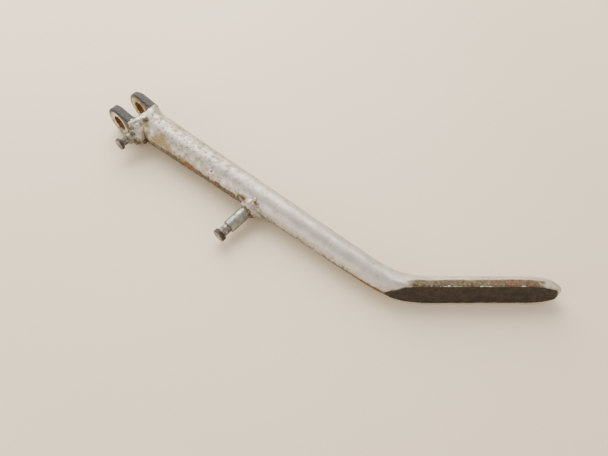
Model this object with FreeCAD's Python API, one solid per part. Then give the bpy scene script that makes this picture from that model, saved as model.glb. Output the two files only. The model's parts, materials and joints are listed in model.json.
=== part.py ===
"""Side stand of a motorcycle: a bare welded leg with its pivot fork, two spring posts and pressed foot.

The origin is the middle of the pivot bore, between the two ears of the fork. +Y runs along the bore
towards the side the foot is bent to, +X runs down the leg and +Z is up from the surface that the
stand lies on. Lengths are in millimetres and angles in degrees.
"""
import FreeCAD
import Part
import math
import os

from FreeCAD import Vector

# fork
BORE_R = 6.1              # pivot bolt shoulder is 12 mm
EAR_R = 12.5              # rounded end of each ear; the ears stand on this edge
EAR_T = 7.0
EAR_GAP = 13.0            # width of the slot for the frame bracket
SLOT_ROOT_X = 14.4        # bottom of the slot, measured from the bore axis
SLOT_ROOT_R = 2.5
SPOT_R = 9.6              # machined ring round each end of the bore
SPOT_DEPTH = 0.4
EAR_EDGE_R = 1.2
FAR_EAR_BEVEL = 2.2       # the outer edge of the ear on the foot's side is worn to a bevel
SHOULDER_S = 14.0         # where the square ears start to run into the round root
SHOULDER_R = 11.0
SPIGOT_R = 8.8
SPIGOT_LEN = 20.0
SPIGOT_CHAMFER = 1.0

# leg tube
LEG_YAW = 6.0             # angle of the leg from +X towards +Y
TUBE_START_S = 30.0       # distances along the leg are from the bore axis
TUBE_START_R = 11.7
TUBE_END_R = 8.7          # radius from the bend onwards
TUBE_WALL = 3.0
SOCKET_R = 8.9            # bore of the tube's mouth, over the spigot
SOCKET_LEN = 22.0
BEND_S = 240.0            # where the axes of leg and foot would cross
BEND_R = 62.0
FOOT_YAW = 43.9
FOOT_LEN = 105.0          # from the crossing of the axes to the tip

# pressed sole
SOLE_TILT = 13.0          # the sole's normal is this far above the horizontal
SOLE_PRESSED = 5.1        # distance from the foot's axis that the tube is pressed down to
SOLE_WORN = 4.8           # distance of the worn flat face from the axis
SOLE_START = -10.0        # the flat fades in from here to SOLE_FULL, along the foot
SOLE_FULL = 14.0
SOLE_FADE = 60.0          # from here to the tip the flat narrows again
SOLE_TIP_SHARE = 0.8
SOLE_CORNER_POWER = 7.0   # 2 is round, higher values give squarer edges to the sole
NOSE_LEN = 24.0
TIP_HOLE_R = 2.0

# spring posts: each row of a profile is (distance from the leg's axis, radius)
LOWER_POST_S = 125.4
LOWER_POST_YAW = -90.1
LOWER_POST_RISE = -3.8
LOWER_POST_PROFILE = ((6.0, 4.7), (30.8, 4.7), (30.8, 3.5), (37.3, 3.5), (37.3, 4.8), (40.9, 4.8))
UPPER_POST_S = 17.8
UPPER_POST_YAW = -91.4
UPPER_POST_RISE = 3.0
UPPER_POST_PROFILE = ((9.0, 4.6), (21.0, 4.6), (21.0, 2.9), (26.2, 2.9), (26.2, 4.5), (28.9, 4.5))
POST_EDGE = 0.5           # chamfer on both edges of a post's head

# welds
RING_WELD_HALF = 3.2
RING_WELD_ROOT_HALF = 0.6
RING_WELD_DEPTH = 2.3
RING_WELD_CROWN = 0.1
LOWER_WELD_R = 7.8
LOWER_WELD_TOP = 15.2
UPPER_WELD_R = 8.4
UPPER_WELD_TOP = 17.4
WELD_DOME = 6.0           # height of the domed part of a post's weld
WELD_KNEE_DROP = 2.2      # the dome passes this far below its top ...
WELD_KNEE_SHARE = 0.62    # ... at this share of the way from the shank out to the weld's radius
TIP_WELD_LEN = 4.0
TIP_WELD_ROUND = 0.65

SECTION_POINTS = 24       # points round one outline of the tube
FOOT_SECTIONS = 14        # outlines along the bend and foot
NOSE_SECTIONS = 6
NOSE_TURN = 76.0          # the nose is a quarter ellipse as far as this angle
OVERRUN = 1.0             # how far a cutting shape runs past the face that it opens
CLOSE = 0.01              # lengths nearer than this count as equal


def direction(yaw, rise=0.0):
    """Unit vector at an angle from +X towards +Y, raised out of the level plane."""
    yaw = math.radians(yaw)
    rise = math.radians(rise)
    return Vector(math.cos(yaw) * math.cos(rise), math.sin(yaw) * math.cos(rise), math.sin(rise))


# The leg drops just enough for the slimmer foot to lie on the surface that the ears stand on.
LEG_DROP = math.degrees(math.asin((EAR_R - TUBE_END_R) / BEND_S))
LEG_DIR = direction(LEG_YAW, -LEG_DROP)
FOOT_DIR = direction(FOOT_YAW)
BEND_POINT = LEG_DIR * BEND_S
BEND_ANGLE = LEG_DIR.getAngle(FOOT_DIR)
BEND_TANGENT = BEND_R * math.tan(BEND_ANGLE / 2)
SOLE_NORMAL = direction(FOOT_YAW - 90.0, SOLE_TILT)
HALF_WIDTH = EAR_T + EAR_GAP / 2    # from the middle of the slot to the outside of an ear


def path_point(foot_s):
    """Point and direction of the axis, by distance past the crossing of the leg's and foot's axes."""
    if foot_s >= BEND_TANGENT:
        return BEND_POINT + FOOT_DIR * foot_s, FOOT_DIR
    if foot_s <= -BEND_TANGENT:
        return BEND_POINT + LEG_DIR * foot_s, LEG_DIR
    turn = (foot_s + BEND_TANGENT) / (2 * BEND_TANGENT) * BEND_ANGLE
    start = BEND_POINT - LEG_DIR * BEND_TANGENT
    inward = (FOOT_DIR - LEG_DIR * FOOT_DIR.dot(LEG_DIR)).normalize()
    point = start + LEG_DIR * (BEND_R * math.sin(turn)) + inward * (BEND_R * (1 - math.cos(turn)))
    return point, (LEG_DIR * math.cos(turn) + inward * math.sin(turn)).normalize()


def smooth_step(value, low, high):
    """0 below low, 1 above high and a smooth rise between them."""
    share = min(max((value - low) / (high - low), 0.0), 1.0)
    return share * share * (3 - 2 * share)


def outer_radius(foot_s):
    """Radius of the tube: a straight taper down the leg, then level, then an elliptical nose."""
    run = BEND_S - BEND_TANGENT - TUBE_START_S
    share = (foot_s + BEND_S - TUBE_START_S) / run
    taper = TUBE_START_R + (TUBE_END_R - TUBE_START_R) * min(share, 1.0)
    nose = max(foot_s - (FOOT_LEN - NOSE_LEN), 0.0) / NOSE_LEN
    return taper * math.sqrt(1.0 - nose * nose)


def flatness(foot_s):
    """How far the tube is pressed flat on the sole side, from 0 for round to 1."""
    fade_in = smooth_step(foot_s, SOLE_START, SOLE_FULL)
    fade_out = smooth_step(foot_s, SOLE_FADE, FOOT_LEN)
    return fade_in * (1.0 - (1.0 - SOLE_TIP_SHARE) * fade_out)


def tube_section(foot_s, inset):
    """Closed outline across the tube: a round back and, where it is pressed, a flat sole side."""
    centre, along = path_point(foot_s)
    normal = (SOLE_NORMAL - along * SOLE_NORMAL.dot(along)).normalize()
    side = along.cross(normal)
    radius = outer_radius(foot_s)
    share = flatness(foot_s)
    depth = radius - share * max(radius - SOLE_PRESSED, 0.0)
    power = 2.0 + share * (SOLE_CORNER_POWER - 2.0)
    radius = radius - inset
    depth = depth - inset
    points = []
    for index in range(SECTION_POINTS):
        angle = 2 * math.pi * index / SECTION_POINTS
        across = abs(math.sin(angle)) / radius
        if math.cos(angle) > 0:
            out = math.cos(angle) / depth
            reach = (out ** power + across ** power) ** (-1.0 / power)
        else:
            reach = radius
        points.append(centre + normal * (reach * math.cos(angle)) + side * (reach * math.sin(angle)))
    steps = [index / SECTION_POINTS for index in range(SECTION_POINTS + 1)]
    curve = Part.BSplineCurve()
    curve.interpolate(Points=points, PeriodicFlag=True, Parameters=steps)
    return Part.Wire([curve.toShape()])


def spans():
    """Distances of the outlines along the straight leg, along the bend and foot, and round the nose."""
    nose_start = FOOT_LEN - NOSE_LEN
    run = nose_start + BEND_TANGENT
    leg = [TUBE_START_S - BEND_S, -BEND_TANGENT]
    foot = [-BEND_TANGENT + run * index / FOOT_SECTIONS for index in range(FOOT_SECTIONS + 1)]
    turns = [math.radians(NOSE_TURN * index / NOSE_SECTIONS) for index in range(NOSE_SECTIONS + 1)]
    nose = [nose_start + NOSE_LEN * math.sin(turn) for turn in turns]
    return leg, foot, nose


def lofted(places, inset):
    """Solid through the tube's outlines at these places, moved inwards by the inset."""
    ruled = len(places) == 2
    return Part.makeLoft([tube_section(place, inset) for place in places], True, ruled)


def leg_skin():
    """Solid of the tube's outer shape."""
    leg, foot, nose = spans()
    whole = lofted(leg, 0.0).fuse([lofted(foot, 0.0), lofted(nose, 0.0)]).removeSplitter()
    return whole.cut(worn_away())


def worn_away():
    """Block whose face is the flat that the foot is worn to."""
    size = 2 * FOOT_LEN
    block = Part.makeBox(size, size, size, Vector(-size / 2, -size / 2, 0))
    block.Placement = FreeCAD.Placement(
        BEND_POINT + SOLE_NORMAL * SOLE_WORN + FOOT_DIR * (FOOT_LEN / 2),
        FreeCAD.Rotation(Vector(0, 0, 1), SOLE_NORMAL))
    return block


def leg_cavity():
    """Solids of the hollow inside the tube and of the hole through its nose."""
    leg, foot, nose = spans()
    leg[0] -= OVERRUN
    nose = [place for place in nose if outer_radius(place) > TUBE_WALL + TIP_HOLE_R]
    start, along = path_point(nose[-1] - OVERRUN)
    hole = Part.makeCylinder(TIP_HOLE_R, NOSE_LEN, start, along)
    return lofted(leg, TUBE_WALL).fuse([lofted(foot, TUBE_WALL), lofted(nose, TUBE_WALL), hole])


def turned(profile, origin, axis):
    """Solid of revolution from rows of (distance along the axis, radius)."""
    side = axis.cross(Vector(0, 0, 1)).normalize()
    points = [origin + axis * profile[0][0]]
    points += [origin + axis * along + side * radius for along, radius in profile]
    points += [origin + axis * profile[-1][0], points[0]]
    return Part.Face(Part.makePolygon(points)).revolve(origin, axis, 360)


def groove_ring(start, depth, half, crown):
    """Ring-shaped weld run in a vee groove round the leg, centred at a distance along it."""
    side = LEG_DIR.cross(Vector(0, 0, 1)).normalize()
    centre = LEG_DIR * start
    radius = TUBE_START_R
    left = centre - LEG_DIR * half + side * radius
    right = centre + LEG_DIR * half + side * radius
    top = centre + side * (radius + crown)
    left_root = centre - LEG_DIR * RING_WELD_ROOT_HALF + side * (radius - depth)
    right_root = centre + LEG_DIR * RING_WELD_ROOT_HALF + side * (radius - depth)
    edges = [Part.Arc(left, top, right).toShape()]
    edges.append(Part.makeLine(right, right_root))
    edges.append(Part.makeLine(right_root, left_root))
    edges.append(Part.makeLine(left_root, left))
    return Part.Face(Part.Wire(edges)).revolve(Vector(), LEG_DIR, 360)


def ear_outline():
    """Side view of the ears and root: a rounded end that runs straight into the root."""
    end = TUBE_START_S + SHOULDER_R
    edges = [Part.Arc(Vector(0, 0, -EAR_R), Vector(-EAR_R, 0, 0), Vector(0, 0, EAR_R)).toShape()]
    edges.append(Part.makeLine(Vector(0, 0, EAR_R), Vector(end, 0, EAR_R)))
    edges.append(Part.makeLine(Vector(end, 0, EAR_R), Vector(end, 0, -EAR_R)))
    edges.append(Part.makeLine(Vector(end, 0, -EAR_R), Vector(0, 0, -EAR_R)))
    return Part.Wire(edges)


def root_envelope():
    """Round envelope about the leg's axis that turns the square ears into the round root."""
    wide = 2 * HALF_WIDTH
    shoulder_end = SHOULDER_S + SHOULDER_R
    side = LEG_DIR.cross(Vector(0, 0, 1)).normalize()

    def place(along, radius):
        return LEG_DIR * along + side * radius

    corner = SHOULDER_R * (1 - math.cos(math.pi / 4))
    middle = place(SHOULDER_S + corner, TUBE_START_R + corner)
    edges = [Part.makeLine(place(-wide, 0), place(-wide, wide))]
    edges.append(Part.makeLine(place(-wide, wide), place(SHOULDER_S, wide)))
    edges.append(Part.makeLine(place(SHOULDER_S, wide), place(SHOULDER_S, TUBE_START_R + SHOULDER_R)))
    edges.append(Part.Arc(place(SHOULDER_S, TUBE_START_R + SHOULDER_R), middle,
                          place(shoulder_end, TUBE_START_R)).toShape())
    edges.append(Part.makeLine(place(shoulder_end, TUBE_START_R), place(TUBE_START_S, TUBE_START_R)))
    edges.append(Part.makeLine(place(TUBE_START_S, TUBE_START_R), place(TUBE_START_S, 0)))
    edges.append(Part.makeLine(place(TUBE_START_S, 0), place(-wide, 0)))
    return Part.Face(Part.Wire(edges)).revolve(Vector(), LEG_DIR, 360)


def clevis_fork():
    """Forged fork: two ears with the pivot bore, a round root and a spigot for the tube."""
    block = Part.Face(ear_outline()).extrude(Vector(0, 2 * HALF_WIDTH, 0))
    block.translate(Vector(0, -HALF_WIDTH, 0))
    body = block.common(root_envelope())
    length = SLOT_ROOT_X + 2 * EAR_R
    slot = Part.makeBox(length, EAR_GAP, 4 * EAR_R, Vector(SLOT_ROOT_X - length, -EAR_GAP / 2, -2 * EAR_R))
    root_edges = []
    for edge in slot.Edges:
        middle = edge.CenterOfMass
        if abs(middle.x - SLOT_ROOT_X) < CLOSE and abs(middle.z) < CLOSE:
            root_edges.append(edge)
    body = body.cut(slot.makeFillet(SLOT_ROOT_R, root_edges))
    rim_edges = [edge for edge in body.Edges if is_circle(edge, EAR_R)]
    far_edges = [edge for edge in rim_edges if edge.CenterOfMass.y > HALF_WIDTH - CLOSE]
    body = body.makeFillet(EAR_EDGE_R, [edge for edge in rim_edges if edge not in far_edges])
    far_edges = [edge for edge in body.Edges
                 if is_circle(edge, EAR_R) and edge.CenterOfMass.y > HALF_WIDTH - CLOSE]
    body = body.makeChamfer(FAR_EAR_BEVEL, far_edges)
    bore = Part.makeCylinder(BORE_R, 4 * HALF_WIDTH, Vector(0, -2 * HALF_WIDTH, 0), Vector(0, 1, 0))
    body = body.cut(bore)
    for side in (-1, 1):
        face = Vector(0, side * (HALF_WIDTH - SPOT_DEPTH), 0)
        body = body.cut(Part.makeCylinder(SPOT_R, 2 * SPOT_DEPTH, face, Vector(0, side, 0)))
    spigot_start = LEG_DIR * (TUBE_START_S - OVERRUN)
    spigot = Part.makeCylinder(SPIGOT_R, SPIGOT_LEN + OVERRUN, spigot_start, LEG_DIR)
    spigot_end = [edge for edge in spigot.Edges
                  if is_circle(edge, SPIGOT_R) and edge.CenterOfMass.Length > TUBE_START_S + CLOSE]
    spigot = spigot.makeChamfer(SPIGOT_CHAMFER, spigot_end)
    return body.fuse(spigot).removeSplitter()


def is_circle(edge, radius):
    """Whether an edge is a circle, or part of one, of this radius."""
    return edge.Curve.TypeId == "Part::GeomCircle" and abs(edge.Curve.Radius - radius) < CLOSE


def leg_tube(skin):
    """Tapered tube, bent near its end, with the pressed foot and the nosed tip."""
    socket_start = LEG_DIR * (TUBE_START_S - OVERRUN)
    socket = Part.makeCylinder(SOCKET_R, SOCKET_LEN + OVERRUN, socket_start, LEG_DIR)
    return skin.cut(leg_cavity().fuse(socket))


def spring_post(profile, start, yaw, rise, skin, fork):
    """Turned post with a groove behind its head, cut at its base to the surface it stands on."""
    axis = direction(yaw, rise)
    origin = LEG_DIR * start
    post = turned(profile, origin, axis)
    head_radius = profile[-1][1]
    post = post.makeChamfer(POST_EDGE, [edge for edge in post.Edges if is_circle(edge, head_radius)])
    return post.cut(skin).cut(fork)


def post_weld(base_row, radius, top, start, yaw, rise, skin, fork, post):
    """Domed fillet weld round the base of a post, from the first row of the post's profile."""
    base, shank = base_row
    axis = direction(yaw, rise)
    origin = LEG_DIR * start
    side = axis.cross(Vector(0, 0, 1)).normalize()

    def place(along, out):
        return origin + axis * along + side * out

    foot = place(top - WELD_DOME, radius)
    knee = place(top - WELD_KNEE_DROP, shank + (radius - shank) * WELD_KNEE_SHARE)
    crest = place(top, shank)
    edges = [Part.makeLine(place(base, 0), place(base, radius))]
    edges.append(Part.makeLine(place(base, radius), foot))
    edges.append(Part.Arc(foot, knee, crest).toShape())
    edges.append(Part.makeLine(crest, place(top, 0)))
    edges.append(Part.makeLine(place(top, 0), place(base, 0)))
    mound = Part.Face(Part.Wire(edges)).revolve(origin, axis, 360)
    return largest(mound.cut(skin).cut(fork).cut(post))


def largest(shape):
    """The biggest solid of a shape, without any slivers that a cut left."""
    return max(shape.Solids, key=lambda solid: solid.Volume)


def tip_weld():
    """Plug weld that closes the hole left in the nose of the foot, with a rounded end."""
    nose_end = spans()[2][-1]
    start, along = path_point(nose_end - TIP_WELD_LEN)
    plug = Part.makeCylinder(TIP_HOLE_R, TIP_WELD_LEN + FOOT_LEN - nose_end, start, along)
    outer_rim = [edge for edge in plug.Edges
                 if is_circle(edge, TIP_HOLE_R) and (edge.CenterOfMass - start).Length > TIP_WELD_LEN]
    return plug.makeFillet(TIP_WELD_ROUND, outer_rim)


def main():
    """Make every piece and write each to its own file."""
    os.makedirs("parts", exist_ok=True)
    skin = leg_skin()
    ring = groove_ring(TUBE_START_S, RING_WELD_DEPTH, RING_WELD_HALF, RING_WELD_CROWN)
    fork = clevis_fork().cut(ring)
    lower_place = (LOWER_POST_S, LOWER_POST_YAW, LOWER_POST_RISE)
    upper_place = (UPPER_POST_S, UPPER_POST_YAW, UPPER_POST_RISE)
    lower_post = spring_post(LOWER_POST_PROFILE, *lower_place, skin, fork)
    upper_post = spring_post(UPPER_POST_PROFILE, *upper_place, skin, fork)
    lower_shape = (LOWER_POST_PROFILE[0], LOWER_WELD_R, LOWER_WELD_TOP)
    upper_shape = (UPPER_POST_PROFILE[0], UPPER_WELD_R, UPPER_WELD_TOP)
    plug = tip_weld()
    parts = {
        "clevis_fork": fork,
        "leg_tube": leg_tube(skin).cut(ring).cut(plug),
        "fork_ring_weld": ring,
        "lower_spring_post": lower_post,
        "lower_post_weld": post_weld(*lower_shape, *lower_place, skin, fork, lower_post),
        "upper_spring_post": upper_post,
        "upper_post_weld": post_weld(*upper_shape, *upper_place, skin, fork, upper_post),
        "foot_tip_weld": plug,
    }
    for name, shape in parts.items():
        solid = largest(shape)
        print(name, solid.isValid(), len(shape.Solids), round(solid.Volume))
        solid.exportStep("parts/" + name + ".step")


main()
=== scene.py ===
"""Looks of the motorcycle side stand: worn silver paint, rust, grime and lumpy welds round the CAD frame.

Lengths are in millimetres, apart from the stage's that say metres, and are turned into metres where a mesh
or node is made. Places on the leg are a distance down its axis from the bore and an angle round it, 0 on
top and 90 on the posts' side.
"""
import json
import math

import bmesh
import bpy
import numpy as np
from mathutils import Euler, Matrix, Vector, noise

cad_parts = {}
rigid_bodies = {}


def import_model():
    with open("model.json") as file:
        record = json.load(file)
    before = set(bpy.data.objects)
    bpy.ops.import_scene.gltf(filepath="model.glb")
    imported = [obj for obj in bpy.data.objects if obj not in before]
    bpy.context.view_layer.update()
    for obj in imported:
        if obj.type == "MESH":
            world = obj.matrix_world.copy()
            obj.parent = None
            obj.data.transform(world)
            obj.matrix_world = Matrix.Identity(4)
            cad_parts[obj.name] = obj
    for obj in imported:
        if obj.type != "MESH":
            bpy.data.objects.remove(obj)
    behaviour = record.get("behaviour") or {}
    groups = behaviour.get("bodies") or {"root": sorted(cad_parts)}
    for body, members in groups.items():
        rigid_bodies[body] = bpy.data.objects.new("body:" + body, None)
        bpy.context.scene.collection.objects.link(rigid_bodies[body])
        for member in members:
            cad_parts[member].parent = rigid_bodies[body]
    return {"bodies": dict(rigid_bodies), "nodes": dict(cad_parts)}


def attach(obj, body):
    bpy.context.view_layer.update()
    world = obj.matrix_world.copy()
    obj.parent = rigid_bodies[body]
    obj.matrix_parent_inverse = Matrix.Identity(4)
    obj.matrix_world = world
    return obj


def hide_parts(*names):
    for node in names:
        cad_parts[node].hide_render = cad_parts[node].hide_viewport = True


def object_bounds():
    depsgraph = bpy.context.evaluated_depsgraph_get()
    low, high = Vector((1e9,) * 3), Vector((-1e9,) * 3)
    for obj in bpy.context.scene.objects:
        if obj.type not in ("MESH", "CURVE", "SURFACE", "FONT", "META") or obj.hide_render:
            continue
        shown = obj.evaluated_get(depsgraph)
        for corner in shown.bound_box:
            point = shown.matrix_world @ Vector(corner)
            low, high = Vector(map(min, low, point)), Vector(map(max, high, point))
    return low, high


MM = 0.001

# the leg's axis and sections, as in the design apart from the two that say otherwise
LEG_YAW = 6.0
LEG_DROP = 0.907          # degrees that the leg falls below the level
TUBE_START_S = 30.0
TUBE_START_R = 11.7
TUBE_END_R = 8.7
TUBE_WALL = 3.0
SOCKET_R = 8.95           # a little wider than the design's
SOCKET_END_S = 52.0
GROOVE_HALF = 3.2         # the groove in the tube's mouth that the ring weld fills
GROOVE_DEPTH = 2.3
BEND_S = 240.0
BEND_R = 62.0
FOOT_YAW = 43.9
FOOT_LEN = 105.0
SOLE_TILT = 13.0
SOLE_PRESSED = 5.1
SOLE_WORN = 4.8
SOLE_START = -10.0
SOLE_FULL = 14.0
SOLE_FADE = 60.0
SOLE_TIP_SHARE = 0.8
SOLE_CORNER_POWER = 7.0
SOLE_EDGE_SOFT = 0.175    # rounding of the worn edge, which the design leaves sharp
NOSE_LEN = 24.0
TIP_HOLE_R = 2.0
INNER_NOSE_GAP = 2.0      # the hollow ends this far short of the nose's wall

# fork
RIM_R = 10.3              # the ears are dark outside this radius from the bore
BORE_WALL_R = 6.9
RIM_END_X = 14.5
OUTER_FACE_Y = 11.5

# posts: where they leave the leg's axis, their yaw and their rise, then places along their axes
LOWER_POST = (125.4, -90.1, -3.8)
UPPER_POST = (17.8, -91.4, 3.0)
LOWER_LIP = 15.2
UPPER_LIP = 17.4
LOWER_NECK = 30.8
LOWER_HEAD = 37.3
UPPER_NECK = 21.0
UPPER_HEAD = 26.2

# fineness of the meshes
RING_STEP = 0.62
RING_POINTS = 120
NOSE_RINGS = 44
INNER_STEP = 6.0
FORK_VOXEL = 0.32
WELD_VOXEL = 0.22
POST_VOXEL = 0.16
PLUG_VOXEL = 0.12
EDGE_ROUNDS = 3
WELD_ROUNDS = 14
HOLLOW_ROUNDS = 12
HOLLOW_BLUR_ROUNDS = 3

# unevenness: size of the long dents and of two kinds of pit, then the heights of dents and pits by surface
DENT_SIZE = 17.0
PIT_SIZE = 1.9
SMALL_PIT_SIZE = 0.8
PAINT_ROUGH = (0.22, 0.045)
SOLE_ROUGH = (0.22, 0.16)
SOLE_ROUGH_DEPTH = 0.8    # the sole's pits start this far under its face
RUN_ROUGH = (0.22, 0.05)
WELD_ROUGH = (0.25, 0.06)
POST_ROUGH = (0.05, 0.03)
PLUG_ROUGH = (0.1, 0.05)
RIPPLE_HEIGHT = 0.07
RIPPLES = 13

# fork root and ring weld: rows of distance down the leg and radius, round the run's outline
ROOT_BLEND_X = 16.5
ROOT_BLEND_LEN = 3.0
ROOT_BLEND_SHARE = 0.8
ROOT_BLEND_ROUNDS = 60
RUN_ROWS = ((25.2, 10.9), (26.6, 11.72), (30.0, 11.86), (33.4, 11.70), (34.6, 11.2),
            (33.4, 10.6), (30.6, 9.45), (29.4, 9.45), (25.2, 10.9))

# extra lumps of weld metal: centre and radius
UPPER_LUMPS = (((16.6, -9.6, 9.3), 2.5), ((18.8, -9.0, 8.6), 2.9), ((21.6, -8.6, 6.4), 2.7),
               ((15.6, -13.8, 5.6), 2.2), ((18.6, -13.9, 5.6), 2.4), ((22.8, -11.4, 2.6), 2.8),
               ((24.6, -10.2, -2.0), 2.8))
LOWER_LUMPS = (((129.6, 5.6, 3.9), 1.7), ((126.6, 6.6, 5.5), 1.5), ((132.2, 4.6, 1.2), 1.9),
               ((119.0, 5.6, 3.0), 1.7), ((132.6, 3.8, -3.6), 2.2), ((117.8, 4.4, -3.0), 1.8))

# kinds of wear, each stored at every vertex as a strength: 0 for none, 1 or more for full; the grime one also
# carries painted shade and the bare metal one painted highlights
WEAR = ("rust", "stain", "grime_and_shade", "soot", "bare_and_highlight", "sole")

# wear along the foot: where it starts, is full, fades and ends, past the bend
FOOT_BAND = (0.0, 16.0, 84.0, 99.0)
FOOT_MIDDLE = (26.0, 40.0, 62.0, 80.0)
FOOT_EDGE = (10.0, 20.0, 82.0, 92.0)

# angles round the leg where the lower side's grime and painted shade start and are full, by piece, and where
# they fade and end
LEG_LOW_SIDE = (52.0, 98.0)
FORK_LOW_SIDE = (85.0, 115.0)
WELD_LOW_SIDE = (88.0, 118.0)
LOW_SIDE_FADE = (215.0, 260.0)

# how strongly the hollows are darkened with painted shade, per millimetre of depth
FORK_HOLLOW_SHADE = 2.5
WELD_HOLLOW_SHADE = 4.0
POST_HOLLOW_SHADE = 5.0
PLUG_HOLLOW_SHADE = 1.0

# spots on the sole's worn edge where its bare metal is made stronger as painted highlights: distance along
# the foot and half length
GLINTS = ((31.0, 6.0), (54.0, 4.0), (78.0, 3.0))

# marks on the leg: distance down it, angle round it, half length and half width
RUST_MARKS = ((68.5, 81.0, 7.0, 3.2), (95.0, 78.0, 2.4, 2.4), (219.0, 92.0, 7.5, 1.5),
              (229.0, 100.0, 5.0, 1.5), (128.5, 52.0, 2.6, 1.5), (87.0, 44.0, 1.0, 0.9),
              (83.0, 26.0, 0.9, 0.7), (61.0, 20.0, 0.8, 0.8), (86.0, 60.0, 1.2, 0.8),
              (108.0, 104.0, 5.0, 1.4), (112.0, 300.0, 6.0, 3.0), (160.0, 200.0, 9.0, 5.0))
STAIN_MARKS = ((40.0, 37.0, 6.5, 3.2), (34.0, 62.0, 6.0, 3.0), (46.0, 60.0, 7.0, 3.0),
               (117.0, 62.0, 8.0, 2.2), (62.0, 70.0, 8.0, 2.0), (22.0, 36.0, 4.0, 3.0),
               (152.0, 250.0, 12.0, 6.0))
# grime marks; the long ones along the lower side, at 88 to 108 degrees, are grime and painted shade
GRIME_AND_SHADE_MARKS = ((23.5, 100.0, 7.0, 4.0), (84.0, 88.0, 32.0, 3.2), (50.0, 92.0, 22.0, 3.8),
               (236.0, 100.0, 16.0, 3.6), (206.0, 104.0, 22.0, 3.0), (150.0, 108.0, 34.0, 2.2),
               (95.5, 84.0, 3.2, 2.2), (20.5, 20.0, 3.0, 2.6), (108.0, 86.0, 9.0, 3.0),
               (118.0, 64.0, 5.0, 1.2))

# metals: light and dark colour, roughness, metallic
SILVER_PAINT = ((0.56, 0.51, 0.445), (0.43, 0.385, 0.33), 0.42, 0.60)
BARE_ZINC = ((0.38, 0.38, 0.35), (0.18, 0.18, 0.155), 0.30, 0.85)
BUMP_HEIGHT = 0.12
BUMP_STRENGTH = 0.5
SPECULAR = 0.3

# layers of wear: name, feature size, raggedness, mask limits, two colours, roughness, metallic
LAYERS = (
    ("stain", 4.0, 1.7, 0.18, 0.95, (0.22, 0.165, 0.050), (0.34, 0.27, 0.14), 0.50, 0.30),
    # the grime layer also paints shade: in hollows, in the posts' grooves, in the bore and along the lower
    # sides
    ("grime_and_shade", 2.4, 1.9, 0.22, 0.95, (0.052, 0.036, 0.020), (0.14, 0.105, 0.058), 0.62, 0.10),
    ("soot", 2.5, 0.5, 0.15, 0.60, (0.017, 0.014, 0.014), (0.042, 0.034, 0.031), 0.50, 0.10),
    # the bare layer is worn bare metal, and also paints highlights at spots on the sole's edge
    ("bare_and_highlight", 2.0, 1.8, 0.42, 0.80, (0.90, 0.86, 0.78), (0.62, 0.57, 0.46), 0.24, 0.95),
    ("rust", 1.8, 1.7, 0.30, 0.90, (0.27, 0.105, 0.028), (0.10, 0.043, 0.018), 0.80, 0.05),
    ("sole", 5.5, 0.4, 0.30, 0.70, (0.018, 0.014, 0.010), (0.042, 0.025, 0.016), 0.60, 0.05),
)

# floor and room
FLOOR_CLEAR = 0.2         # gap between the floor and the CAD box, for the dents
FLOOR_HALF_M = 3.0        # metres
FLOOR_PATCH = 260.0
FLOOR_LIGHT = (0.93, 0.78, 0.57)
FLOOR_DARK = (0.90, 0.745, 0.53)
FLOOR_ROUGHNESS = 0.55
ROOM_LOW = (0.98, 0.94, 0.88)
ROOM_HIGH = (0.50, 0.49, 0.48)
ROOM_RISE = (0.05, 0.75)
ROOM_STRENGTH = 1.5

# lights: place, target and size in metres, power in watts, colour
WINDOW = ((-0.62, 0.48, 0.72), (0.10, 0.05, 0.0), 1.1, 26.0, (1.0, 0.97, 0.93))
LOW_WINDOW = ((-0.40, -1.05, 0.30), (0.15, 0.02, 0.0), 1.0, 7.0, (1.0, 0.98, 0.96))

# camera: place in metres, pitch and turn in degrees, focal length in millimetres
CAMERA_PLACE = (0.32536, -0.15276, 0.37267)
CAMERA_PITCH = 32.02
CAMERA_TURN = 43.75
CAMERA_LENS = 38.49

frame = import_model()
CAD_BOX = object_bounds()
BODY = next(iter(frame["bodies"]))


def direction(yaw, rise=0.0):
    """Unit vector at an angle from +X towards +Y, raised out of the level plane, in degrees."""
    yaw = math.radians(yaw)
    rise = math.radians(rise)
    return Vector((math.cos(yaw) * math.cos(rise), math.sin(yaw) * math.cos(rise), math.sin(rise)))


UP = Vector((0, 0, 1))
LEG_DIR = direction(LEG_YAW, -LEG_DROP)
FOOT_DIR = direction(FOOT_YAW)
BEND_POINT = LEG_DIR * BEND_S
BEND_ANGLE = LEG_DIR.angle(FOOT_DIR)
BEND_TANGENT = BEND_R * math.tan(BEND_ANGLE / 2)
SOLE_NORMAL = direction(FOOT_YAW - 90.0, SOLE_TILT)


def smooth_step(value, low, high):
    """0 below low, 1 above high and a smooth rise between them."""
    share = min(max((value - low) / (high - low), 0.0), 1.0)
    return share * share * (3 - 2 * share)


def span(value, low, full, fade, end):
    """0 outside low to end and 1 from full to fade, with smooth edges."""
    return smooth_step(value, low, full) * (1.0 - smooth_step(value, fade, end))


def path_point(foot_s):
    """Point and direction of the leg's axis, by distance past the crossing of the leg's and foot's axes."""
    if foot_s >= BEND_TANGENT:
        return BEND_POINT + FOOT_DIR * foot_s, FOOT_DIR
    if foot_s <= -BEND_TANGENT:
        return BEND_POINT + LEG_DIR * foot_s, LEG_DIR
    turn = (foot_s + BEND_TANGENT) / (2 * BEND_TANGENT) * BEND_ANGLE
    start = BEND_POINT - LEG_DIR * BEND_TANGENT
    inward = (FOOT_DIR - LEG_DIR * FOOT_DIR.dot(LEG_DIR)).normalized()
    point = start + LEG_DIR * (BEND_R * math.sin(turn)) + inward * (BEND_R * (1 - math.cos(turn)))
    return point, (LEG_DIR * math.cos(turn) + inward * math.sin(turn)).normalized()


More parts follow.
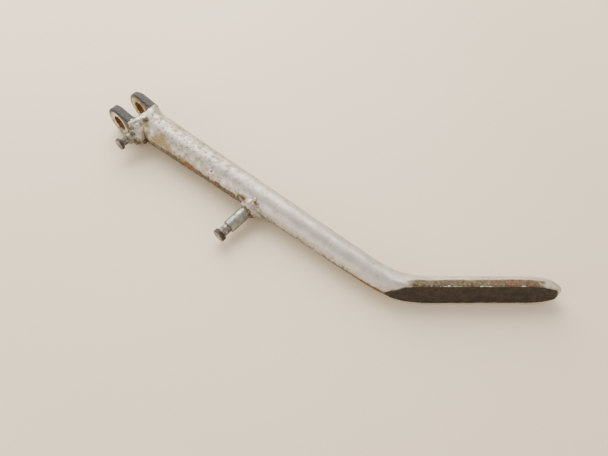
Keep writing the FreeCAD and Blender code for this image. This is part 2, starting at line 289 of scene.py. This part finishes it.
def outer_radius(foot_s):
    """Radius of the tube: a straight taper down the leg, then level, then an elliptical nose."""
    run = BEND_S - BEND_TANGENT - TUBE_START_S
    share = (foot_s + BEND_S - TUBE_START_S) / run
    taper = TUBE_START_R + (TUBE_END_R - TUBE_START_R) * min(share, 1.0)
    past_groove = foot_s + BEND_S - TUBE_START_S
    groove = GROOVE_DEPTH * max(1.0 - past_groove / GROOVE_HALF, 0.0)
    nose = max(foot_s - (FOOT_LEN - NOSE_LEN), 0.0) / NOSE_LEN
    return (taper - groove) * math.sqrt(1.0 - nose * nose)


def flatness(foot_s):
    """How far the tube is pressed flat on the sole side, from 0 for round to 1."""
    fade_in = smooth_step(foot_s, SOLE_START, SOLE_FULL)
    fade_out = smooth_step(foot_s, SOLE_FADE, FOOT_LEN)
    return fade_in * (1.0 - (1.0 - SOLE_TIP_SHARE) * fade_out)


def soft_limit(value, limit, soft):
    """The value held under a limit, with a rounded corner of about this size."""
    return value - soft * math.log(1.0 + math.exp(min((value - limit) / soft, 40.0)))


def ring(foot_s, inset):
    """Points round the tube at one place, from the top towards the posts' side."""
    centre, along = path_point(foot_s)
    side = along.cross(UP).normalized()
    top = side.cross(along)
    normal = (SOLE_NORMAL - along * SOLE_NORMAL.dot(along)).normalized()
    across = along.cross(normal)
    radius = outer_radius(foot_s)
    share = flatness(foot_s)
    depth = max(radius - share * max(radius - SOLE_PRESSED, 0.0) - inset, 1.0)
    radius = max(radius - inset, 1.0)
    if inset and foot_s + BEND_S < SOCKET_END_S:
        radius = depth = SOCKET_R
    power = 2.0 + share * (SOLE_CORNER_POWER - 2.0)
    points = []
    for index in range(RING_POINTS):
        angle = 2 * math.pi * index / RING_POINTS
        out = top * math.cos(angle) + side * math.sin(angle)
        deep = out.dot(normal)
        wide = abs(out.dot(across))
        reach = radius
        if deep > 0:
            reach = ((deep / depth) ** power + (wide / radius) ** power) ** (-1.0 / power)
        point = centre + out * reach
        height = (point - BEND_POINT).dot(SOLE_NORMAL)
        if not inset and foot_s > SOLE_START:
            point -= SOLE_NORMAL * (height - soft_limit(height, SOLE_WORN, SOLE_EDGE_SOFT))
        points.append(point)
    return points


def dents(point, coarse, fine):
    """Unevenness of the surface at a point: long dents and fine pits of about these heights."""
    pits = noise.noise(point / PIT_SIZE) + 0.5 * noise.noise(point / SMALL_PIT_SIZE)
    return noise.noise(point / DENT_SIZE) * coarse + pits * fine


def closed_skin(name, rings):
    """Mesh of rings of points, each joined to the next and the last to the first."""
    faces = []
    for row in range(len(rings)):
        here = row * RING_POINTS
        there = (row + 1) % len(rings) * RING_POINTS
        for index in range(RING_POINTS):
            after = (index + 1) % RING_POINTS
            faces.append((here + index, here + after, there + after, there + index))
    mesh = bpy.data.meshes.new(name)
    mesh.from_pydata([point * MM for points in rings for point in points], [], faces)
    mesh.update()
    return mesh


def leg_mesh():
    """Closed skin of the tube: the outside down to the nose, and the inside back to the mouth."""
    nose_start = FOOT_LEN - NOSE_LEN
    mouth = TUBE_START_S - BEND_S + RING_STEP
    count = round((nose_start - mouth) / RING_STEP)
    outer = [mouth + (nose_start - mouth) * index / count for index in range(count)]
    last_turn = math.acos(TIP_HOLE_R / TUBE_END_R)
    for index in range(NOSE_RINGS + 1):
        outer.append(nose_start + NOSE_LEN * math.sin(last_turn * index / NOSE_RINGS))
    inner_end = FOOT_LEN - TUBE_WALL - INNER_NOSE_GAP
    inner_count = round((inner_end - mouth) / INNER_STEP)
    outside = [ring(foot_s, 0.0) for foot_s in outer]
    inside = [ring(inner_end + (mouth - inner_end) * index / inner_count, TUBE_WALL)
              for index in range(inner_count + 1)]
    mesh = closed_skin("leg_tube_skin", outside + inside)
    shifts = np.zeros(len(mesh.vertices))
    for index, point in enumerate(point for points in outside for point in points):
        height = (point - BEND_POINT).dot(SOLE_NORMAL)
        rough = PAINT_ROUGH if height < SOLE_WORN - SOLE_ROUGH_DEPTH else SOLE_ROUGH
        shifts[index] = dents(point, *rough)
    return moved(mesh, shifts)


def vectors(mesh, name):
    """Positions in millimetres ("co") or directions ("normal") of all vertices."""
    values = np.zeros(len(mesh.vertices) * 3)
    mesh.vertices.foreach_get(name, values)
    return values.reshape(-1, 3) / (MM if name == "co" else 1.0)


def moved(mesh, shifts):
    """The mesh with every vertex moved along its normal, in millimetres."""
    places = vectors(mesh, "co") + vectors(mesh, "normal") * np.asarray(shifts)[:, None]
    mesh.vertices.foreach_set("co", (places * MM).ravel())
    mesh.update()
    return mesh


def soft_copy(node, voxel, rounds, lumps=()):
    """Evenly meshed copy of a CAD node with softened edges, joined with lumps of weld metal."""
    shape = bmesh.new()
    shape.from_mesh(frame["nodes"][node].data)
    for centre, radius in lumps:
        place = Matrix.Translation(Vector(centre) * MM)
        bmesh.ops.create_icosphere(shape, subdivisions=3, radius=radius * MM, matrix=place)
    mesh = bpy.data.meshes.new(node + "_rough")
    shape.to_mesh(mesh)
    shape.free()
    rough = bpy.data.objects.new(node + "_rough", mesh)
    bpy.context.scene.collection.objects.link(rough)
    remesh = rough.modifiers.new("remesh", "REMESH")
    remesh.mode = "VOXEL"
    remesh.voxel_size = voxel * MM
    soften = rough.modifiers.new("soften", "SMOOTH")
    soften.factor = 0.5
    soften.iterations = rounds
    evaluated = rough.evaluated_get(bpy.context.evaluated_depsgraph_get())
    result = bpy.data.meshes.new_from_object(evaluated)
    bpy.data.objects.remove(rough)
    return result


def roughened(mesh, coarse, fine):
    """The mesh with dents and pits."""
    return moved(mesh, [dents(Vector(place), coarse, fine) for place in vectors(mesh, "co")])


def rippled(mesh, origin, axis, height, ripples):
    """Weld metal with the ripples of a run laid round a post."""
    side = axis.cross(UP).normalized()
    top = side.cross(axis)
    shifts = []
    for place in vectors(mesh, "co"):
        offset = Vector(place) - origin
        turn = math.atan2(offset.dot(side), offset.dot(top))
        wobble = noise.noise(Vector(place) / 4.0)
        shifts.append(height * math.sin(ripples * turn + 3.0 * wobble))
    return moved(mesh, shifts)


def neighbours(mesh):
    """Function that averages values over each vertex's neighbours."""
    count = len(mesh.vertices)
    ends = np.zeros(len(mesh.edges) * 2, int)
    mesh.edges.foreach_get("vertices", ends)
    first, second = ends.reshape(-1, 2).T
    degree = np.bincount(ends, minlength=count)[:, None]

    def spread(values):
        columns = [np.bincount(first, column[second], count) + np.bincount(second, column[first], count)
                   for column in values.T]
        return np.array(columns).T / degree
    return spread


def hollows(mesh):
    """How far each vertex lies in a hollow of the surface, in millimetres, evened out over its neighbours."""
    places = vectors(mesh, "co")
    normals = vectors(mesh, "normal")
    spread = neighbours(mesh)
    smooth = places
    for _ in range(HOLLOW_ROUNDS):
        smooth = spread(smooth)
    depth = ((smooth - places) * normals).sum(1)[:, None]
    for _ in range(HOLLOW_BLUR_ROUNDS):
        depth = spread(depth)
    return depth[:, 0]


def blended_root(mesh):
    """The fork with the corners of its root ground round, clear of the ears and of the spigot."""
    places = vectors(mesh, "co")
    down = places @ np.array(LEG_DIR)
    share = np.clip((places[:, 0] - ROOT_BLEND_X) / ROOT_BLEND_LEN, 0.0, 1.0) * (down < TUBE_START_S)
    share = share[:, None] * ROOT_BLEND_SHARE
    spread = neighbours(mesh)
    for _ in range(ROOT_BLEND_ROUNDS):
        places = places + (spread(places) - places) * share
    mesh.vertices.foreach_set("co", (places * MM).ravel())
    mesh.update()
    return mesh


def ring_run():
    """Ring weld between fork and tube, ground nearly flush."""
    side = LEG_DIR.cross(UP).normalized()
    top = side.cross(LEG_DIR)
    rows = [RUN_ROWS[0]]
    for (start, low), (end, high) in zip(RUN_ROWS, RUN_ROWS[1:]):
        steps = max(round(abs(end - start) / RING_STEP), 1)
        rows += [(start + (end - start) * step / steps, low + (high - low) * step / steps)
                 for step in range(1, steps + 1)]
    rows.pop()
    angles = [2 * math.pi * index / RING_POINTS for index in range(RING_POINTS)]
    outs = [top * math.cos(angle) + side * math.sin(angle) for angle in angles]
    rings = [[LEG_DIR * down + out * radius for out in outs] for down, radius in rows]
    return roughened(closed_skin("ring_run", rings), *RUN_ROUGH)


def place_on_leg(point):
    """Distance down the leg's axis, angle round it in degrees and distance from it."""
    foot_s = (point - BEND_POINT).dot(FOOT_DIR)
    leg_s = point.dot(LEG_DIR) - BEND_S
    if foot_s > BEND_TANGENT:
        centre, along = path_point(foot_s)
        down = foot_s
    elif leg_s < -BEND_TANGENT:
        centre, along = path_point(leg_s)
        down = leg_s
    else:
        down = (leg_s + foot_s) / 2
        centre, along = path_point(down)
    side = along.cross(UP).normalized()
    top = side.cross(along)
    offset = point - centre
    return down + BEND_S, math.degrees(math.atan2(offset.dot(side), offset.dot(top))) % 360.0, offset.length


def marked(marks, down, angle, radius):
    """Strength of a list of marks at one place on the leg."""
    total = 0.0
    for mark_s, mark_angle, half_length, half_width in marks:
        turn = (angle - mark_angle + 180.0) % 360.0 - 180.0
        along = (down - mark_s) / half_length
        across = math.radians(turn) * radius / half_width
        total += math.exp(-along * along - across * across)
    return min(total, 1.0)


def leg_wear(point, normal):
    """Rust, stain, grime and painted shade on the lower side, bare metal with painted highlights on the
    sole's edge, and worn sole at a point of the tube.
    """
    down, angle, radius = place_on_leg(point)
    foot_s = down - BEND_S
    height = (point - BEND_POINT).dot(SOLE_NORMAL)
    faces_out = normal.dot(SOLE_NORMAL)
    ragged = noise.noise(point / 4.0)
    start = 0.22 * (77.0 - min(angle, 140.0)) + 3.0 * ragged - 4.0
    on_foot = smooth_step(foot_s - start, -9.0, 5.0)
    sole = smooth_step(faces_out + 0.05 * ragged, 0.76, 0.92) * on_foot * smooth_step(height, 1.0, 3.0)
    band = smooth_step(height, -2.2, 0.4) * (1.0 - sole) * span(foot_s, *FOOT_BAND)
    band *= 1.0 + 0.7 * noise.noise(point / 7.0)
    middle = span(foot_s, *FOOT_MIDDLE)
    # painted highlights: spots where the bare edge is made stronger
    glint = max(math.exp(-((foot_s - place) / half) ** 2) for place, half in GLINTS)
    edge = smooth_step(height, 3.2, 4.3) * (1.0 - sole) * span(foot_s, *FOOT_EDGE)
    low_side = span(angle, *LEG_LOW_SIDE, *LOW_SIDE_FADE)
    near_fork = 1.0 - smooth_step(down, 60.0, 150.0)
    band_rust = band * (0.62 - 0.25 * middle) * smooth_step(foot_s, 30.0, 60.0)
    side_stain = 0.12 + 0.34 * near_fork * smooth_step(angle, 5.0, 50.0)
    tip_stain = 0.5 * smooth_step(foot_s, 90.0, 101.0)
    # grime and painted shade along the lower side, heavier near the fork
    low_side_grime_and_shade = low_side * (0.55 + 0.35 * near_fork)
    band_grime = band * (1.25 - 0.4 * middle)
    all_grime = 0.14 + 0.2 * near_fork
    return {
        "rust": max(marked(RUST_MARKS, down, angle, radius), band_rust),
        "stain": max(marked(STAIN_MARKS, down, angle, radius), band * 1.3, side_stain, tip_stain),
        "grime_and_shade": max(marked(GRIME_AND_SHADE_MARKS, down, angle, radius), low_side_grime_and_shade, band_grime, all_grime),
        # bare metal on the worn edge, made stronger at the glints as painted highlights
        "bare_and_highlight": edge * (0.30 + 0.55 * glint),
        "sole": sole,
    }


def fork_wear(point, normal):
    """Wear of the fork: dark ears, pale machined faces, a rusty bore darkened further with painted shade, and
    painted shade on the lower side.
    """
    down, angle, radius = place_on_leg(point)
    from_bore = math.hypot(point.x, point.z)
    sideways = abs(normal.y)
    in_bore = 1.0 - smooth_step(from_bore, BORE_WALL_R, BORE_WALL_R + 0.3)
    wall = (1.0 - smooth_step(sideways, 0.4, 0.8)) * in_bore
    ear = 1.0 - smooth_step(point.x + 2.0 * noise.noise(point / 3.0), RIM_END_X - 1.2, RIM_END_X + 0.8)
    rim = smooth_step(from_bore, RIM_R - 0.5, RIM_R + 0.3) * ear
    outside = smooth_step(abs(point.y), OUTER_FACE_Y - 1.0, OUTER_FACE_Y)
    inner_face = smooth_step(sideways, 0.7, 0.9) * (1.0 - outside)
    bore_ring = smooth_step(sideways, 0.75, 0.95) * (1.0 - smooth_step(from_bore, RIM_R - 0.6, RIM_R))
    # grime and painted shade on the fork's lower side
    low_side = span(angle, *FORK_LOW_SIDE, *LOW_SIDE_FADE)
    return {
        "rust": max(wall, marked(RUST_MARKS, down, angle, radius)),
        "stain": max(0.85 * inner_face, marked(STAIN_MARKS, down, angle, radius), 0.4),
        # the bore's wall gets rust and, through the grime strength, painted shade
        "grime_and_shade": max(0.6 * low_side, 0.3, marked(GRIME_AND_SHADE_MARKS, down, angle, radius), 0.7 * wall),
        "soot": rim * (1.0 - 0.6 * inner_face),
        "bare_and_highlight": 0.45 * bore_ring,
    }


def weld_wear(origin, axis, lip):
    """Wear of a weld round a post: as the leg beside it but darker, with painted shade in its hollows and
    grime and painted shade on its lower side, and brown at its lip on the post.
    """
    def wear(point, normal):
        down, angle, radius = place_on_leg(point)
        # grime and painted shade on the weld's lower side
        low_side = span(angle, *WELD_LOW_SIDE, *LOW_SIDE_FADE)
        on_lip = smooth_step((point - origin).dot(axis), lip - 3.2, lip - 0.8)
        grime_and_shade = marked(GRIME_AND_SHADE_MARKS, down, angle, radius)
        return {
            "rust": max(marked(RUST_MARKS, down, angle, radius), 0.28 * on_lip),
            "stain": max(marked(STAIN_MARKS, down, angle, radius), 0.36),
            "grime_and_shade": max(grime_and_shade, 0.65 * low_side, 0.22, 0.75 * on_lip),
        }
    return wear


def post_wear(origin, axis, lip, neck, head):
    """Wear of a post, by the places of its weld's lip, neck and head: the head's rim is dark, and the groove
    at the neck and the faces turned down get painted shade.
    """
    def wear(point, normal):
        reach = (point - origin).dot(axis)
        by_weld = 1.0 - smooth_step(reach, lip + 0.3, lip + 3.0)
        # painted shade in the neck's groove and past it, with real brown grime by the weld's lip
        groove_shade_and_lip_grime = max(smooth_step(reach, neck - 0.6, neck + 0.3), by_weld)
        on_head = smooth_step(reach, head - 0.4, head + 0.2) * (1.0 - smooth_step(normal.dot(axis), 0.6, 0.9))
        # darker on faces turned down: painted shade
        low = smooth_step(-normal.z, 0.0, 0.8)
        return {
            "rust": 0.1 + 0.3 * on_head,
            "stain": 0.3,
            "grime_and_shade": max(0.3 + 0.3 * low, 0.6 * groove_shade_and_lip_grime, 0.8 * on_head),
            "soot": 0.5 * on_head,
        }
    return wear


def paint_wear(mesh, wear, hollow_shade_per_mm=0.0):
    """Stores the wear at every vertex, with painted shade darkening the hollows."""
    rows = [wear(Vector(place), Vector(normal))
            for place, normal in zip(vectors(mesh, "co"), vectors(mesh, "normal"))]
    # depth in hollows, turned into painted shade through the grime strength
    deep = np.clip(hollows(mesh) * hollow_shade_per_mm, -0.5, 1.2) if hollow_shade_per_mm else np.zeros(len(rows))
    for name in WEAR:
        values = np.array([row.get(name, 0.0) for row in rows])
        if name == "grime_and_shade":
            values = np.maximum(values, deep)
        layer = mesh.attributes.new(name, "FLOAT", "POINT")
        layer.data.foreach_set("value", values.astype(np.float32))


class Tree:
    """Nodes of one material."""

    def __init__(self, name):
        self.material = bpy.data.materials.new(name)
        self.material.use_nodes = True
        self.nodes = self.material.node_tree.nodes
        self.links = self.material.node_tree.links
        self.shader = self.nodes["Principled BSDF"]
        self.place = self.nodes.new("ShaderNodeTexCoord").outputs["Object"]

    def put(self, socket, value):
        """Links a socket to another, or sets its value."""
        if isinstance(value, bpy.types.NodeSocket):
            self.links.new(value, socket)
        else:
            socket.default_value = value

    def noise(self, size, detail):
        """Noise with features of about this size, in millimetres."""
        made = self.nodes.new("ShaderNodeTexNoise")
        self.links.new(self.place, made.inputs["Vector"])
        made.inputs["Scale"].default_value = 1.0 / (size * MM)
        made.inputs["Detail"].default_value = detail
        return made.outputs["Fac"]

    def math(self, operation, first, second):
        """Sum, difference or product of two values."""
        made = self.nodes.new("ShaderNodeMath")
        made.operation = operation
        self.put(made.inputs[0], first)
        self.put(made.inputs[1], second)
        return made.outputs[0]

    def between(self, value, low, high, out_low=0.0, out_high=1.0):
        """Smooth rise from out_low to out_high as the value goes from low to high."""
        made = self.nodes.new("ShaderNodeMapRange")
        made.interpolation_type = "SMOOTHSTEP"
        self.put(made.inputs["Value"], value)
        made.inputs["From Min"].default_value = low
        made.inputs["From Max"].default_value = high
        made.inputs["To Min"].default_value = out_low
        made.inputs["To Max"].default_value = out_high
        return made.outputs[0]

    def mix(self, share, first, second):
        """Blend of two colours or two plain values, by share of the second."""
        made = self.nodes.new("ShaderNodeMix")
        colours = isinstance(first, tuple) or getattr(first, "type", "") == "RGBA"
        made.data_type = "RGBA" if colours else "FLOAT"
        offset = 6 if colours else 2
        self.put(made.inputs[0], share)
        self.put(made.inputs[offset], (*first, 1.0) if isinstance(first, tuple) else first)
        self.put(made.inputs[offset + 1], (*second, 1.0) if isinstance(second, tuple) else second)
        return made.outputs[2 if colours else 0]

    def attribute(self, name):
        """Strength stored at the vertices under this name."""
        made = self.nodes.new("ShaderNodeAttribute")
        made.attribute_name = name
        return made.outputs["Fac"]


def broken(tree, name, size, ragged, low, high):
    """Mask of one kind of wear: its stored strength, broken up by noise."""
    ragged_noise = tree.math("MULTIPLY", tree.math("SUBTRACT", tree.noise(size, 5.0), 0.5), ragged)
    return tree.between(tree.math("ADD", tree.attribute(name), ragged_noise), low, high)


def worn_metal(name, light, dark, roughness, metallic):
    """Metal or metallic paint under the layers of wear."""
    tree = Tree(name)
    patches = tree.between(tree.noise(7.0, 3.0), 0.35, 0.65)
    speckle = tree.between(tree.noise(0.7, 2.0), 0.3, 0.7)
    colour = tree.mix(tree.math("MULTIPLY", patches, 0.7), light, dark)
    colour = tree.mix(tree.math("MULTIPLY", speckle, 0.25), colour, dark)
    rough = tree.between(tree.noise(2.4, 4.0), 0.3, 0.7, roughness - 0.05, roughness + 0.08)
    metal = metallic
    height = tree.math("MULTIPLY", tree.noise(0.9, 3.0), 0.5)
    for layer, size, ragged, low, high, first, second, layer_rough, layer_metal in LAYERS:
        mask = broken(tree, layer, size, ragged, low, high)
        layer_colour = tree.mix(tree.between(tree.noise(size * 0.6, 3.0), 0.35, 0.65), first, second)
        colour = tree.mix(mask, colour, layer_colour)
        rough = tree.mix(mask, rough, layer_rough)
        metal = tree.mix(mask, metal, layer_metal)
        if layer in ("rust", "grime_and_shade"):
            height = tree.math("ADD", height, tree.math("MULTIPLY", mask, tree.noise(0.5, 3.0)))
    bump = tree.nodes.new("ShaderNodeBump")
    bump.inputs["Strength"].default_value = BUMP_STRENGTH
    bump.inputs["Distance"].default_value = BUMP_HEIGHT * MM
    tree.put(bump.inputs["Height"], height)
    tree.put(tree.shader.inputs["Base Color"], colour)
    tree.put(tree.shader.inputs["Roughness"], rough)
    tree.put(tree.shader.inputs["Metallic"], metal)
    tree.put(tree.shader.inputs["Normal"], bump.outputs[0])
    tree.put(tree.shader.inputs["Specular IOR Level"], SPECULAR)
    return tree.material


def add_piece(node, mesh, material):
    """Puts a piece in place of a CAD node."""
    piece = bpy.data.objects.new(node + "_look", mesh)
    bpy.context.scene.collection.objects.link(piece)
    mesh.shade_smooth()
    mesh.materials.clear()
    mesh.materials.append(material)
    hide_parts(node)
    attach(piece, BODY)


def add_floor():
    """Plain pale surface under the stand."""
    low = CAD_BOX[0][2] - FLOOR_CLEAR * MM
    half = FLOOR_HALF_M
    mesh = bpy.data.meshes.new("floor")
    corners = [(-half, -half, low), (half, -half, low), (half, half, low), (-half, half, low)]
    mesh.from_pydata(corners, [], [(0, 1, 2, 3)])
    floor = bpy.data.objects.new("floor", mesh)
    bpy.context.scene.collection.objects.link(floor)
    tree = Tree("pale_table")
    colour = tree.mix(tree.between(tree.noise(FLOOR_PATCH, 2.0), 0.3, 0.7), FLOOR_LIGHT, FLOOR_DARK)
    tree.put(tree.shader.inputs["Base Color"], colour)
    tree.put(tree.shader.inputs["Roughness"], FLOOR_ROUGHNESS)
    mesh.materials.append(tree.material)


def add_light(name, place, target, size, power, colour):
    """Soft square light aimed at a point."""
    light = bpy.data.lights.new(name, "AREA")
    light.size = size
    light.energy = power
    light.color = colour
    lamp = bpy.data.objects.new(name, light)
    lamp.location = place
    lamp.rotation_euler = (Vector(target) - Vector(place)).to_track_quat("-Z", "Y").to_euler()
    bpy.context.scene.collection.objects.link(lamp)


def add_world():
    """Pale room: bright near the horizon and duller overhead."""
    world = bpy.data.worlds.new("room")
    bpy.context.scene.world = world
    world.use_nodes = True
    nodes = world.node_tree.nodes
    links = world.node_tree.links
    place = nodes.new("ShaderNodeTexCoord")
    split = nodes.new("ShaderNodeSeparateXYZ")
    ramp = nodes.new("ShaderNodeMapRange")
    mix = nodes.new("ShaderNodeMix")
    mix.data_type = "RGBA"
    links.new(place.outputs["Generated"], split.inputs[0])
    links.new(split.outputs["Z"], ramp.inputs["Value"])
    ramp.inputs["From Min"].default_value = ROOM_RISE[0]
    ramp.inputs["From Max"].default_value = ROOM_RISE[1]
    links.new(ramp.outputs[0], mix.inputs[0])
    mix.inputs[6].default_value = (*ROOM_LOW, 1.0)
    mix.inputs[7].default_value = (*ROOM_HIGH, 1.0)
    links.new(mix.outputs[2], nodes["Background"].inputs["Color"])
    nodes["Background"].inputs["Strength"].default_value = ROOM_STRENGTH


def make_camera():
    """Camera at the photograph's viewing angle."""
    camera = bpy.data.objects.new("camera", bpy.data.cameras.new("camera"))
    camera.data.lens = CAMERA_LENS
    camera.location = CAMERA_PLACE
    camera.rotation_euler = Euler((math.radians(CAMERA_PITCH), 0.0, math.radians(CAMERA_TURN)))
    bpy.context.scene.collection.objects.link(camera)
    bpy.context.scene.camera = camera


def add_stand():
    """Every piece of the stand."""
    paint = worn_metal("silver_paint_worn", *SILVER_PAINT)
    zinc = worn_metal("bare_zinc", *BARE_ZINC)
    skin = leg_mesh()
    paint_wear(skin, leg_wear)
    add_piece("leg_tube", skin, paint)
    fork = roughened(blended_root(soft_copy("clevis_fork", FORK_VOXEL, EDGE_ROUNDS)), *PAINT_ROUGH)
    paint_wear(fork, fork_wear, FORK_HOLLOW_SHADE)
    add_piece("clevis_fork", fork, paint)
    lower = (LEG_DIR * LOWER_POST[0], direction(*LOWER_POST[1:]), LOWER_LIP)
    upper = (LEG_DIR * UPPER_POST[0], direction(*UPPER_POST[1:]), UPPER_LIP)
    for node, (origin, axis, lip), lumps in (("lower_post_weld", lower, LOWER_LUMPS),
                                             ("upper_post_weld", upper, UPPER_LUMPS)):
        weld = rippled(soft_copy(node, WELD_VOXEL, WELD_ROUNDS, lumps), origin, axis, RIPPLE_HEIGHT, RIPPLES)
        weld = roughened(weld, *WELD_ROUGH)
        paint_wear(weld, weld_wear(origin, axis, lip), WELD_HOLLOW_SHADE)
        add_piece(node, weld, paint)
    for node, place, neck, head in (("lower_spring_post", lower, LOWER_NECK, LOWER_HEAD),
                                    ("upper_spring_post", upper, UPPER_NECK, UPPER_HEAD)):
        post = roughened(soft_copy(node, POST_VOXEL, EDGE_ROUNDS), *POST_ROUGH)
        paint_wear(post, post_wear(*place, neck, head), POST_HOLLOW_SHADE)
        add_piece(node, post, zinc)
    run = ring_run()
    paint_wear(run, leg_wear)
    add_piece("fork_ring_weld", run, paint)
    plug = roughened(soft_copy("foot_tip_weld", PLUG_VOXEL, EDGE_ROUNDS), *PLUG_ROUGH)
    paint_wear(plug, leg_wear, PLUG_HOLLOW_SHADE)
    add_piece("foot_tip_weld", plug, paint)


add_stand()
add_floor()
add_world()
add_light("window", *WINDOW)
add_light("low_window", *LOW_WINDOW)
make_camera()
